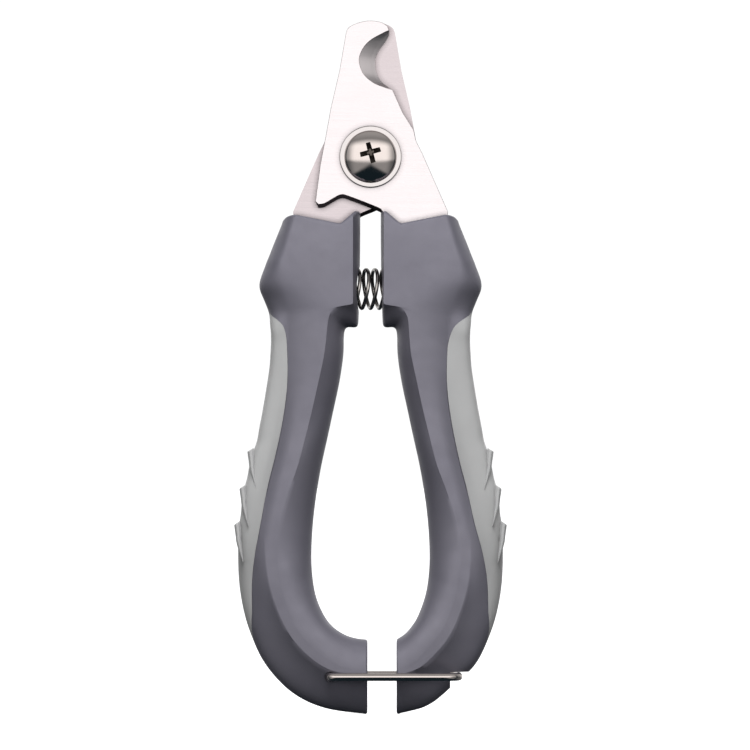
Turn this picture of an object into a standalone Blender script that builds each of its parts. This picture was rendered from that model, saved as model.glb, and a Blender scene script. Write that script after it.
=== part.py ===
"""Pet nail trimmer: two crossed blades on one pivot screw, moulded handles with soft grips,
a return spring between the handles and a wire bail that locks the handles shut.

Sizes are in millimetres and scaled to metres at the end. The tool stands upright in the XZ plane
with its blades towards +Z and its screw head towards -Y. The origin is on the pivot axis, at the
centre of the pivot nut's flat rear face. "Half" means one blade with its handle and grip. Both
halves are described as the right one, in x outwards, y from the plane between the blades and z up.
The left half is the same shape turned half round about the vertical axis.
"""

import math

import bmesh
import bpy
import numpy as np
from mathutils import Matrix, Vector

MM = 0.001

# Pivot stack along Y, measured from the plane between the blades
BLADE_GAP = 0.1
BLADE_THICKNESS = 2.0
STACK_GAP = 0.06
WASHER_THICKNESS = 0.55
WASHER_RADIUS = 6.2
SPRING_WASHER_THICKNESS = 0.9
SPRING_WASHER_RADIUS = 4.3
NUT_THICKNESS = 2.6
NUT_ACROSS_FLATS = 8.0
NUT_BORE_DEPTH = 1.9
SHANK_RADIUS = 2.5
BORE_RADIUS = 2.6
HEAD_RADIUS = 5.25
HEAD_RIM = 0.45
HEAD_HEIGHT = 2.5
RECESS_SPAN = 4.7
RECESS_WIDTH = 1.05
RECESS_DEPTH = 1.6
RECESS_TURN = math.radians(15)
RECESS_LIFT = 0.9

# Blade outline: crown and back, notch, tail and tang
BLADE_CROWN = [(-4.9, 24.8), (-4.3, 25.9), (-2.4, 26.8), (-0.2, 27.2), (2.1, 26.9), (3.4, 26.1)]
NOTCH_FACE = [
    (3.7, 25.3), (2.3, 24.7), (-0.15, 23.4), (-1.75, 21.7),
    (-2.55, 19.4), (-1.75, 16.8), (0.3, 14.9), (2.7, 13.9),
]
NOTCH_EDGE = [
    (3.75, 24.9), (3.6, 24.2), (2.8, 22.8), (1.6, 21.2),
    (0.9, 19.3), (1.2, 16.6), (2.3, 14.9), (3.5, 14.0),
]
BLADE_SPINE = [(4.4, 13.3), (6.4, 8.9), (8.6, 5.4), (9.1, 3.2), (10.4, 0.6), (15.5, -11.0)]
TANG_END = [
    (15.1, -14.0), (13.4, -20.6), (12.2, -22.2), (10.2, -22.6), (8.7, -21.4), (7.2, -16.6), (4.0, -12.6),
]
TAIL_CURVE = [
    (2.3, -10.9), (1.4, -10.5), (-4.4, -8.5), (-6.0, -8.2), (-7.6, -9.0), (-9.2, -9.8), (-10.4, -10.1),
]
BLADE_BACK = [(-11.0, -8.9), (-10.0, -1.4), (-8.7, 5.5), (-7.9, 9.9), (-6.2, 17.2)]
PLUG_HOLES = [(8.3, -15.2), (11.4, -18.4)]
PLUG_HOLE_RADIUS = 1.5
TANG_CLEARANCE = 0.15

# Handle stations from the top to the bottom end. Each gives where the inner edge, the inner crease,
# the outer crease and the outer edge lie, then the share of the outer flank that is bare core, the
# half thickness, and the outer flank's roundness (0.5 is a straight bevel, 1 a quarter round).
HANDLE_STATIONS = [
    ((2.0, -10.0), (3.0, -10.0), (14.4, -10.0), (16.7, -10.0), 1.00, 6.6, 0.05),
    ((2.0, -16.0), (3.0, -16.0), (16.0, -16.0), (18.8, -16.0), 1.00, 6.6, 0.05),
    ((2.0, -21.0), (3.0, -21.0), (17.4, -21.0), (20.7, -21.0), 1.00, 6.6, 0.05),
    ((2.0, -25.4), (3.1, -25.2), (18.4, -25.2), (22.3, -25.5), 1.00, 6.6, 0.05),
    ((2.0, -28.6), (3.4, -28.4), (18.0, -28.6), (21.2, -28.6), 1.00, 6.6, 0.08),
    ((2.0, -31.0), (4.6, -29.6), (17.5, -31.2), (20.3, -31.2), 1.00, 6.5, 0.12),
    ((2.1, -33.4), (6.4, -29.8), (17.0, -33.2), (20.1, -33.4), 0.35, 6.5, 0.15),
    ((3.0, -34.1), (7.6, -31.0), (16.8, -34.8), (19.95, -35.0), 0.10, 6.5, 0.18),
    ((4.6, -34.1), (8.3, -32.8), (16.65, -36.6), (19.9, -37.0), 0.00, 6.4, 0.20),
    ((5.2, -35.4), (8.8, -35.4), (16.6, -38.6), (19.95, -39.0), 0.00, 6.4, 0.20),
    ((5.4, -39.5), (9.3, -39.5), (16.5, -41.8), (20.15, -42.0), 0.00, 6.4, 0.20),
    ((6.3, -45.0), (10.3, -45.0), (16.6, -46.0), (20.7, -46.0), 0.00, 6.4, 0.20),
    ((7.4, -50.6), (11.6, -50.4), (17.1, -51.0), (21.5, -50.8), 0.00, 6.5, 0.20),
    ((8.6, -56.2), (13.1, -56.0), (18.1, -56.4), (22.7, -56.2), 0.00, 6.6, 0.20),
    ((9.9, -61.6), (14.5, -61.4), (19.3, -61.6), (24.1, -61.6), 0.00, 6.7, 0.20),
    ((10.9, -67.4), (15.1, -67.2), (20.4, -67.4), (25.4, -67.4), 0.00, 6.7, 0.20),
    ((11.5, -73.2), (15.0, -73.0), (21.5, -73.0), (26.2, -73.2), 0.05, 6.6, 0.25),
    ((11.85, -78.6), (14.7, -78.8), (21.4, -78.6), (26.5, -79.0), 0.28, 6.5, 0.40),
    ((11.7, -83.0), (14.0, -84.0), (20.7, -84.2), (26.2, -85.0), 0.50, 6.4, 0.55),
    ((11.0, -87.6), (12.9, -89.2), (18.8, -89.6), (25.2, -90.6), 0.75, 6.3, 0.75),
    ((9.6, -91.3), (11.0, -93.2), (16.3, -94.8), (23.7, -95.4), 1.00, 6.2, 0.90),
    ((7.6, -94.0), (8.7, -96.0), (13.2, -99.0), (20.9, -101.2), 1.00, 6.1, 0.95),
    ((5.0, -95.6), (5.8, -97.6), (9.4, -101.8), (15.6, -106.9), 1.00, 6.0, 0.95),
    ((2.6, -96.5), (3.0, -98.4), (5.4, -103.2), (9.0, -110.1), 1.00, 5.9, 0.95),
    ((0.4, -96.7), (0.6, -98.6), (1.6, -103.6), (3.2, -111.1), 1.00, 5.9, 0.95),
    ((-1.5, -96.7), (-1.5, -98.6), (-1.5, -103.7), (-1.5, -111.2), 1.00, 5.9, 0.95),
]
STATION_STEPS = 2
INNER_CREASE = 0.55
FLANK_STEPS = 4
TONGUE_SHARE_OUT = 0.52
TONGUE_SHARE_THICK = 0.50
GRIP_FIT = 0.12
GRIP_EDGE_SHARE = 0.04

# Top edge of a handle: a peak beside the gap, a V notch where the other blade's tail lands,
# then a gently rising shoulder with a rounded outer corner
TOP_EDGE = [
    (1.0, -10.8), (2.4, -10.8), (5.7, -13.4), (13.6, -12.0), (15.4, -11.8), (16.6, -12.2), (17.6, -13.2),
    (24.0, -13.2),
]
TOP_CLEAR = -8.0
LEFT_END_X = 0.6
RIGHT_END_X = 5.2

# Grip fins, as the places of their outer tips
FIN_TIPS = [(24.6, -59.0), (26.2, -66.3), (27.3, -73.5)]
FIN_OUTLINE = [(-2.5, 1.7), (-0.55, 0.4), (0.0, -0.1), (-0.1, -1.4), (-0.75, -6.0), (-1.5, -6.0)]
FIN_HALF_WIDTH = 3.6

# Return spring and its pockets
SPRING_Z = -26.4
SPRING_RADIUS = 4.15
SPRING_WIRE_RADIUS = 0.375
SPRING_TURNS = 7
SPRING_HALF_LENGTH = 6.1
POCKET_RADIUS = 4.6
POCKET_DEPTH_X = 6.6
BOSS_RADIUS = 3.0
BOSS_TIP_X = 3.6

# Lock bail and its seats
BAIL_PIVOT = (-8.1, -103.8)
BAIL_HOLE_RADIUS = 1.05
BAIL_WIRE_RADIUS = 0.8
BAIL_CROSS_X = 17.6
BAIL_LEG_Y = 7.1
BAIL_STUB_Y = 3.4
BAIL_END_BEND = 1.2
BAIL_CORNER_BEND = 3.0
BAIL_NOTCH = [(15.2, -102.7), (24.0, -102.7), (24.0, -110.0), (16.2, -107.8), (15.2, -106.8)]

NUT_FRONT = BLADE_GAP / 2 + BLADE_THICKNESS + WASHER_THICKNESS + SPRING_WASHER_THICKNESS + 3 * STACK_GAP
MID_Y = -(NUT_FRONT + NUT_THICKNESS)


def clear_scene():
    for existing in list(bpy.data.objects):
        bpy.data.objects.remove(existing, do_unlink=True)


def material(name, colour, roughness, metallic=0.0):
    made = bpy.data.materials.new(name)
    made.use_nodes = True
    shader = made.node_tree.nodes["Principled BSDF"]
    shader.inputs["Base Color"].default_value = (*colour, 1.0)
    shader.inputs["Roughness"].default_value = roughness
    shader.inputs["Metallic"].default_value = metallic
    made.diffuse_color = (*colour, 1.0)
    return made


def smooth_path(points, steps):
    """Catmull-Rom curve through rows of numbers, with this many steps between neighbours."""
    rows = np.array(points, float)
    padded = np.vstack([2 * rows[0] - rows[1], rows, 2 * rows[-1] - rows[-2]])
    made = []
    for before, start, end, after in zip(padded, padded[1:], padded[2:], padded[3:]):
        for step in range(steps):
            t = step / steps
            made.append(
                start
                + 0.5 * t * (end - before)
                + t * t * (before - 2.5 * start + 2 * end - 0.5 * after)
                + t * t * t * (1.5 * (start - end) + 0.5 * (after - before))
            )
    made.append(rows[-1])
    return np.array(made)


def mesh_object(name, shell, slot=None, cutter=False):
    """Welds, faces outwards and scales a bmesh in millimetres, then makes it an object."""
    bmesh.ops.remove_doubles(shell, verts=shell.verts, dist=1e-5)
    bmesh.ops.recalc_face_normals(shell, faces=shell.faces)
    bmesh.ops.scale(shell, vec=(MM, MM, MM), verts=shell.verts)
    mesh = bpy.data.meshes.new(name)
    shell.to_mesh(mesh)
    shell.free()
    made = bpy.data.objects.new(name, mesh)
    bpy.context.scene.collection.objects.link(made)
    if slot:
        mesh.materials.append(slot)
    made.hide_render = cutter
    made.display_type = "WIRE" if cutter else "TEXTURED"
    return made


def shade(piece, angle=35):
    piece.data.shade_smooth()
    piece.data.set_sharp_from_angle(angle=math.radians(angle))


def ring_shell(rings, closed_ends=True, endless=False):
    """A bmesh skin over rings of points of equal length."""
    shell = bmesh.new()
    loops = [[shell.verts.new(point) for point in ring] for ring in rings]
    pairs = list(zip(loops, loops[1:]))
    if endless:
        pairs.append((loops[-1], loops[0]))
    for first, second in pairs:
        for i in range(len(first)):
            j = (i + 1) % len(first)
            shell.faces.new((first[i], first[j], second[j], second[i]))
    if closed_ends and not endless:
        shell.faces.new(loops[0][::-1])
        shell.faces.new(loops[-1])
    return shell


def plate_shell(front, back, y_front, y_back):
    """A plate in the XZ plane whose two faces may have different outlines of equal length."""
    return ring_shell([[(x, y_front, z) for x, z in front], [(x, y_back, z) for x, z in back]])


def turned_shell(profile, segments):
    """A solid of revolution about Z from a closed profile of (radius, height) points."""
    rings = []
    for i in range(segments):
        angle = 2 * math.pi * i / segments
        rings.append([(r * math.cos(angle), r * math.sin(angle), h) for r, h in profile])
    return ring_shell(rings, endless=True)


def tube_shell(path, radius, sides):
    """A round wire along a list of points, with its sections turned as little as possible."""
    points = [Vector(point) for point in path]
    rings = []
    across = None
    for i, point in enumerate(points):
        along = (points[min(i + 1, len(points) - 1)] - points[max(i - 1, 0)]).normalized()
        if across is None:
            across = along.orthogonal().normalized()
        across = (across - along * across.dot(along)).normalized()
        up = along.cross(across)
        angles = [2 * math.pi * k / sides for k in range(sides)]
        rings.append([point + radius * (math.cos(a) * across + math.sin(a) * up) for a in angles])
    return ring_shell(rings)


def cylinder_cutter(name, radius, start, end, sides=32):
    return mesh_object(name, tube_shell([start, end], radius, sides), cutter=True)


def cut(piece, cutter, operation="DIFFERENCE"):
    modifier = piece.modifiers.new(cutter.name, "BOOLEAN")
    modifier.operation = operation
    modifier.object = cutter
    modifier.solver = "EXACT"


def offset_outline(points, distance):
    """Moves each side of a counter-clockwise outline outwards by the distance."""
    rows = np.array(points, float)
    moved = []
    for before, here, after in zip(np.roll(rows, 1, 0), rows, np.roll(rows, -1, 0)):
        first = (here - before) / np.linalg.norm(here - before)
        second = (after - here) / np.linalg.norm(after - here)
        normals = np.array([first[1] + second[1], -first[0] - second[0]])
        moved.append(here + distance * normals / (1 + first @ second))
    return moved


# ---------------------------------------------------------------- blades

def blade(name, slot):
    """A ground plate, its notch bevelled from the outer face down to the cutting edge."""
    outer_notch = smooth_path(NOTCH_FACE, 3)
    inner_notch = smooth_path(NOTCH_EDGE, 3)
    rest = BLADE_SPINE + TANG_END + TAIL_CURVE + BLADE_BACK + BLADE_CROWN
    outer = [*map(tuple, outer_notch), *rest]
    inner = [*map(tuple, inner_notch), *rest]
    y_outer = -(BLADE_GAP / 2 + BLADE_THICKNESS)
    piece = mesh_object(name, plate_shell(outer, inner, y_outer, -BLADE_GAP / 2), slot)
    through = (-5.0, 2.0)
    bore = cylinder_cutter(name + "_bore", BORE_RADIUS, (0, through[0], 0), (0, through[1], 0), 48)
    cut(piece, bore)
    helpers = [bore]
    for i, (x, z) in enumerate(PLUG_HOLES):
        hole = cylinder_cutter(
            f"{name}_plug_hole_{i}", PLUG_HOLE_RADIUS, (x, through[0], z), (x, through[1], z), 20
        )
        cut(piece, hole)
        helpers.append(hole)
    return piece, helpers


def tang_cutter(name):
    """The room a tang takes in its handle, less the plugs of plastic that fill its holes."""
    tang = [(1.6, -9.0), (2.3, -10.9), *TANG_END[::-1], (15.5, -11.0), (15.5, -9.0)]
    outline = offset_outline(tang[::-1], -TANG_CLEARANCE)
    y_outer = -(BLADE_GAP / 2 + BLADE_THICKNESS + TANG_CLEARANCE)
    y_inner = -BLADE_GAP / 2 + TANG_CLEARANCE
    room = mesh_object(name, plate_shell(outline, outline, y_outer, y_inner), cutter=True)
    plugs = []
    for i, (x, z) in enumerate(PLUG_HOLES):
        plug = cylinder_cutter(
            f"{name}_plug_{i}", PLUG_HOLE_RADIUS - TANG_CLEARANCE, (x, -6.0, z), (x, 3.0, z), 20
        )
        cut(room, plug)
        plugs.append(plug)
    return room, plugs


# ---------------------------------------------------------------- handles and grips

def handle_sections():
    """Smooth stations: the flank curves of each section and the share that is bare core."""
    flat = [[*a, *b, *c, *d, share, thick, crease] for a, b, c, d, share, thick, crease in HANDLE_STATIONS]
    for row in smooth_path(flat, STATION_STEPS):
        a, b, c, d = row[0:2], row[2:4], row[4:6], row[6:8]
        yield a, b, c, d, min(max(row[8], 0.0), 1.0), row[9], row[10]


def at(place, height):
    return np.array([place[0], -height, place[1]])


def flank_point(top, foot, thick, crease, t):
    """A point on the side that falls from a crease to the parting edge, which it meets square on."""
    ends = at(top, thick), at(foot, 0.0)
    leave = at(top + 0.5 * (foot - top), thick * (1 - 0.5 * crease))
    meet = at(foot, thick * 0.45)
    return (
        (1 - t) ** 3 * ends[0] + 3 * t * (1 - t) ** 2 * leave
        + 3 * t * t * (1 - t) * meet + t ** 3 * ends[1]
    )


def inner_flank(a, b, thick):
    """Points from the inner edge up to the inner crease."""
    return [flank_point(b, a, thick, INNER_CREASE, 1 - i / FLANK_STEPS) for i in range(FLANK_STEPS + 1)]


def both_faces(front):
    """A closed section from its front half, given from the inner edge to the outer one."""
    return front + [point * (1, -1, 1) for point in front[::-1]]


def handle_ring(a, b, c, d, share, thick, crease):
    front = inner_flank(a, b, thick)
    front += [flank_point(c, d, thick, crease, share * i / FLANK_STEPS) for i in range(FLANK_STEPS + 1)]
    edge = front[-1]
    tongue = -edge[1] * TONGUE_SHARE_THICK
    place = edge[[0, 2]]
    front.append(at(place, tongue))
    front.append(at(place + TONGUE_SHARE_OUT * (d - place), tongue))
    return both_faces(front)


def grip_ring(a, b, c, d, share, thick, crease):
    """A U section over the core's tongue, a little clear of it."""
    core_edge = flank_point(c, d, thick, crease, share)
    place = core_edge[[0, 2]]
    size = min(1.0, np.linalg.norm(d - place) / 2)
    start = share + (1 - share) * GRIP_EDGE_SHARE
    steps = [start + (1 - start) * i / FLANK_STEPS for i in range(FLANK_STEPS + 1)]
    outside = [flank_point(c, d, thick, crease, t) for t in steps]
    tongue = -core_edge[1] * TONGUE_SHARE_THICK + GRIP_FIT * size
    tip = place + (TONGUE_SHARE_OUT + 2 * GRIP_EDGE_SHARE) * (d - place)
    inside = [at(outside[0][[0, 2]], min(tongue, -outside[0][1])), at(tip, tongue)]
    return both_faces(inside[::-1] + outside)


def handle(name, slot, end_x):
    piece = mesh_object(name, ring_shell([handle_ring(*section) for section in handle_sections()]), slot)
    beyond = [(-4.0, -90.0), (end_x, -90.0), (end_x, -114.0), (-4.0, -114.0)]
    end = mesh_object(name + "_end_cutter", plate_shell(beyond, beyond, -9.0, 9.0), cutter=True)
    cut(piece, end)
    outline = TOP_EDGE + [(24.0, TOP_CLEAR), (1.0, TOP_CLEAR)]
    top = mesh_object(name + "_top_cutter", plate_shell(outline, outline, -9.0, 9.0), cutter=True)
    cut(piece, top)
    room, plugs = tang_cutter(name + "_tang_room")
    cut(piece, room)
    pocket = mesh_object(name + "_pocket", pocket_shell(), cutter=True)
    cut(piece, pocket)
    return piece, [end, top, room, *plugs, pocket]


def pocket_shell():
    """The spring's ring-shaped pocket around its boss, along X."""
    mouth = 0.5
    profile = [
        (0.0, mouth), (POCKET_RADIUS, mouth), (POCKET_RADIUS, POCKET_DEPTH_X),
        (BOSS_RADIUS, POCKET_DEPTH_X), (BOSS_RADIUS, BOSS_TIP_X), (0.0, BOSS_TIP_X),
    ]
    shell = turned_shell(profile, 28)
    bmesh.ops.rotate(shell, matrix=Matrix.Rotation(math.pi / 2, 3, "Y"), verts=shell.verts)
    bmesh.ops.translate(shell, vec=(0, 0, SPRING_Z), verts=shell.verts)
    return shell


def grip(name, slot):
    sections = list(handle_sections())
    bare = [section[4] >= 1.0 for section in sections]
    covered = [i for i, is_bare in enumerate(bare) if not is_bare]
    rings = [grip_ring(*sections[i]) for i in range(covered[0] - 1, covered[-1] + 2)]
    piece = mesh_object(name, ring_shell(rings, closed_ends=False), slot)
    fins = []
    for i, (tip_x, tip_z) in enumerate(FIN_TIPS):
        outline = [(tip_x + x, tip_z + z) for x, z in FIN_OUTLINE]
        shell = plate_shell(outline, outline, -FIN_HALF_WIDTH, FIN_HALF_WIDTH)
        fin = mesh_object(f"{name}_fin_{i}", shell, cutter=True)
        cut(piece, fin, "UNION")
        fins.append(fin)
    return piece, fins


# ---------------------------------------------------------------- pivot hardware

def washer(name, slot, outer, inner, thickness, split=False):
    rim = 0.12
    profile = [
        (inner, 0.0), (outer - rim, 0.0), (outer, rim), (outer, thickness - rim),
        (outer - rim, thickness), (inner, thickness),
    ]
    if not split:
        return mesh_object(name, turned_shell(profile, 48), slot)
    rings = []
    turns = 44
    for i in range(turns + 1):
        angle = math.radians(8 + 344 * i / turns)
        rings.append([(r * math.cos(angle), r * math.sin(angle), h) for r, h in profile])
    return mesh_object(name, ring_shell(rings), slot)


def screw(name, slot):
    """Domed head with a cross recess above its middle, on a plain shank. Its underside is at height 0."""
    shank_length = 2 * BLADE_THICKNESS + BLADE_GAP + 2 * WASHER_THICKNESS + SPRING_WASHER_THICKNESS
    shank_length += 5 * STACK_GAP + NUT_BORE_DEPTH - 0.2
    crown = []
    for i in range(9):
        angle = math.pi / 2 * i / 8
        crown.append((HEAD_RADIUS * math.cos(angle), HEAD_RIM + (HEAD_HEIGHT - HEAD_RIM) * math.sin(angle)))
    tip = 0.4
    profile = [
        *crown[:-1], (0.0, HEAD_HEIGHT), (0.0, -shank_length), (SHANK_RADIUS - tip, -shank_length),
        (SHANK_RADIUS, tip - shank_length), (SHANK_RADIUS, 0.0), (HEAD_RADIUS, 0.0),
    ]
    piece = mesh_object(name, turned_shell(profile, 48), slot)
    arms = []
    for i in range(2):
        along, across = (RECESS_SPAN / 2, RECESS_WIDTH / 2)
        floor = HEAD_HEIGHT - RECESS_DEPTH
        top = [(-along, -across, 4), (along, -across, 4), (along, across, 4), (-along, across, 4)]
        bottom = [(x * 0.55, y * 0.8, floor) for x, y, _ in top]
        shell = ring_shell([bottom, top])
        turn = Matrix.Rotation(RECESS_TURN + i * math.pi / 2, 3, "Z")
        bmesh.ops.rotate(shell, matrix=turn, verts=shell.verts)
        bmesh.ops.translate(shell, vec=(0, RECESS_LIFT, 0), verts=shell.verts)
        arm = mesh_object(f"{name}_recess_{i}", shell, cutter=True)
        cut(piece, arm)
        arms.append(arm)
    return piece, arms


def nut(name, slot):
    """A closed hexagon nut. Its open side is at height 0 and its flat face at the thickness."""
    corner = NUT_ACROSS_FLATS / math.sqrt(3)
    edge = 0.3
    def hexagon(radius, height):
        turns = [math.pi / 3 * i for i in range(6)]
        return [(radius * math.cos(turn), radius * math.sin(turn), height) for turn in turns]
    shell = ring_shell(
        [
            hexagon(corner - edge, 0.0), hexagon(corner, edge),
            hexagon(corner, NUT_THICKNESS - edge), hexagon(corner - edge, NUT_THICKNESS),
        ]
    )
    piece = mesh_object(name, shell, slot)
    bore = cylinder_cutter(name + "_bore", BORE_RADIUS, (0, 0, -1.0), (0, 0, NUT_BORE_DEPTH), 36)
    cut(piece, bore)
    return piece, [bore]


# ---------------------------------------------------------------- spring and bail

def return_spring(name, slot):
    mean = SPRING_RADIUS - SPRING_WIRE_RADIUS
    per_turn = 12
    count = SPRING_TURNS * per_turn
    path = []
    for i in range(count + 1):
        angle = 2 * math.pi * i / per_turn
        x = SPRING_HALF_LENGTH * (2 * i / count - 1)
        path.append((x, mean * math.sin(angle), SPRING_Z + mean * math.cos(angle)))
    return mesh_object(name, tube_shell(path, SPRING_WIRE_RADIUS, 6), slot)


def bend(corner, before, after, radius, steps=4):
    """Arc that rounds the right angle between two directions at a corner point."""
    centre = Vector(corner) - radius * Vector(before) + radius * Vector(after)
    made = []
    for i in range(steps + 1):
        angle = math.pi / 2 * i / steps
        inward = radius * math.cos(angle) * Vector(after)
        onward = radius * math.sin(angle) * Vector(before)
        made.append(centre - inward + onward)
    return made


def bail_path():
    """From one hooked end, along the front leg, across and back, relative to the bail's own pivot."""
    reach = BAIL_CROSS_X - BAIL_PIVOT[0]
    out, back, front, rear = (1, 0, 0), (-1, 0, 0), (0, -1, 0), (0, 1, 0)
    path = [(0, -BAIL_STUB_Y, 0)]
    path += bend((0, -BAIL_LEG_Y, 0), front, out, BAIL_END_BEND)
    path += bend((reach, -BAIL_LEG_Y, 0), out, rear, BAIL_CORNER_BEND)
    path += bend((reach, BAIL_LEG_Y, 0), rear, back, BAIL_CORNER_BEND)
    path += bend((0, BAIL_LEG_Y, 0), back, front, BAIL_END_BEND)
    path.append((0, BAIL_STUB_Y, 0))
    return path


# ---------------------------------------------------------------- assembly

def empty(name, location):
    made = bpy.data.objects.new(name, None)
    made.location = [value * MM for value in location]
    bpy.context.scene.collection.objects.link(made)
    return made


def place(pieces, holder, turn=(0, 0, 0), shift=(0, 0, 0)):
    for piece in pieces:
        piece.parent = holder
        piece.rotation_euler = turn
        piece.location = [value * MM for value in shift]


def build():
    clear_scene()
    steel = material("blade_steel", (0.86, 0.84, 0.84), 0.28, 1.0)
    chrome = material("bright_plating", (0.80, 0.79, 0.79), 0.10, 1.0)
    core = material("handle_core", (0.26, 0.25, 0.29), 0.42)
    soft = material("grip_rubber", (0.42, 0.42, 0.41), 0.62)
    wire = material("spring_wire", (0.55, 0.53, 0.50), 0.22, 1.0)

    fixed_half = empty("fixed_half", (0, MID_Y, 0))
    moving_half = empty("moving_half_pivot", (0, MID_Y, 0))
    half_round = (0, 0, math.pi)

    rear_blade, rear_helpers = blade("rear_blade", steel)
    left_handle, left_helpers = handle("left_handle", core, LEFT_END_X)
    bail_x, bail_z = BAIL_PIVOT
    hole_ends = [(-bail_x, y, bail_z) for y in (-9, 9)]
    hinge_hole = cylinder_cutter("bail_hinge_hole", BAIL_HOLE_RADIUS, *hole_ends, 24)
    cut(left_handle, hinge_hole)
    left_grip, left_fins = grip("left_grip", soft)
    left = [rear_blade, left_handle, left_grip, hinge_hole, *rear_helpers, *left_helpers, *left_fins]
    place(left, fixed_half, half_round)

    front_blade, front_helpers = blade("front_blade", steel)
    right_handle, right_helpers = handle("right_handle", core, RIGHT_END_X)
    seat = mesh_object("bail_seat_cutter", plate_shell(BAIL_NOTCH, BAIL_NOTCH, -9.0, 9.0), cutter=True)
    cut(right_handle, seat)
    right_grip, right_fins = grip("right_grip", soft)
    right = [front_blade, right_handle, right_grip, seat, *front_helpers, *right_helpers, *right_fins]
    place(right, moving_half)

    towards_front = (math.pi / 2, 0, 0)
    towards_back = (-math.pi / 2, 0, 0)
    outer_face = BLADE_GAP / 2 + BLADE_THICKNESS + STACK_GAP
    pivot_screw, recess = screw("pivot_screw", chrome)
    under_head = outer_face + WASHER_THICKNESS + STACK_GAP
    place([pivot_screw, *recess], fixed_half, towards_front, (0, -under_head, 0))
    head_washer = washer("head_washer", chrome, WASHER_RADIUS, BORE_RADIUS, WASHER_THICKNESS)
    place([head_washer], fixed_half, towards_front, (0, -outer_face, 0))
    nut_washer = washer("nut_washer", chrome, WASHER_RADIUS, BORE_RADIUS, WASHER_THICKNESS)
    place([nut_washer], fixed_half, towards_back, (0, outer_face, 0))
    spring_washer = washer(
        "spring_washer", chrome, SPRING_WASHER_RADIUS, BORE_RADIUS, SPRING_WASHER_THICKNESS, split=True
    )
    place([spring_washer], fixed_half, towards_back, (0, outer_face + WASHER_THICKNESS + STACK_GAP, 0))
    pivot_nut, nut_helpers = nut("pivot_nut", chrome)
    place([pivot_nut, *nut_helpers], fixed_half, towards_back, (0, NUT_FRONT, 0))

    spring = return_spring("return_spring", wire)
    place([spring], fixed_half)

    bail_hinge = empty("bail_hinge", (bail_x, MID_Y, bail_z))
    bail = mesh_object("lock_bail", tube_shell(bail_path(), BAIL_WIRE_RADIUS, 10), chrome)
    place([bail], bail_hinge)

    flat_shaded = (rear_blade, front_blade)
    smooth = (
        left_handle, right_handle, left_grip, right_grip, pivot_screw, head_washer, nut_washer,
        spring_washer, pivot_nut, spring, bail,
    )
    for piece in flat_shaded:
        shade(piece, 25)
    for piece in smooth:
        shade(piece)


build()
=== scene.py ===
"""Looks of the pet nail trimmer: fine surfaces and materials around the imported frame.

Both halves are described as the right one, in millimetres: x outwards, y from the plane between
the blades (negative towards the screw head) and z up. The left half is the same shape turned half
round about the vertical axis. Everything is scaled to metres when it becomes an object.
"""

import math

import bmesh
import bpy
import numpy as np
from mathutils import Matrix, Vector


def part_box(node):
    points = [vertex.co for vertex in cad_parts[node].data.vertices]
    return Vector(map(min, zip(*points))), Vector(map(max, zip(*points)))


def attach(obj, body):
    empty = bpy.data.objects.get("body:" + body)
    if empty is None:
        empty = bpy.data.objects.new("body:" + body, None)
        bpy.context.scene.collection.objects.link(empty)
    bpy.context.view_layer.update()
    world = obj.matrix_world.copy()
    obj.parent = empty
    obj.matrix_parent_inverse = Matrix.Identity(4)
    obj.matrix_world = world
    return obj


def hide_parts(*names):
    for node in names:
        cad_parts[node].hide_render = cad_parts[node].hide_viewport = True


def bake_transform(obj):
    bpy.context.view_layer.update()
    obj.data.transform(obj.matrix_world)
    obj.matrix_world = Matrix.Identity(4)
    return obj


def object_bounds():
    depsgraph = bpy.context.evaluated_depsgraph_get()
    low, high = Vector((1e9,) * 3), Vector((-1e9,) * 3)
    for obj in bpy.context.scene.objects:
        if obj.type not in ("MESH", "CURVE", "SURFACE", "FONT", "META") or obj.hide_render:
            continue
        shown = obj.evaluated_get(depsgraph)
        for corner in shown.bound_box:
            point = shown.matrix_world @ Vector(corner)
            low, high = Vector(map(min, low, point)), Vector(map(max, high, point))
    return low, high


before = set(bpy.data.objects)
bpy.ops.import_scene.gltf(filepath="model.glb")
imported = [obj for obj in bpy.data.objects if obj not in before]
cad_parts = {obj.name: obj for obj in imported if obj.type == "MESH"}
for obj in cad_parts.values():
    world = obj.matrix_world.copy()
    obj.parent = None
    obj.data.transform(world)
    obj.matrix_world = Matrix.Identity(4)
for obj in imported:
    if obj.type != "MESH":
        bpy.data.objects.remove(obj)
cad_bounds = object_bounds()

MM = 0.001
WELD = 1e-5
SHARP_ANGLE = 35
TURNED_SIDES = 128
HOLE_SIDES = 64
FRONT_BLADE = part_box("front_blade")
REAR_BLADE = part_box("rear_blade")
MID_Y = (FRONT_BLADE[1].y + REAR_BLADE[0].y) / 2 / MM
BLADE_INNER = (REAR_BLADE[0].y - FRONT_BLADE[1].y) / 2 / MM
BLADE_OUTER = BLADE_INNER + (FRONT_BLADE[1].y - FRONT_BLADE[0].y) / MM

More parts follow.
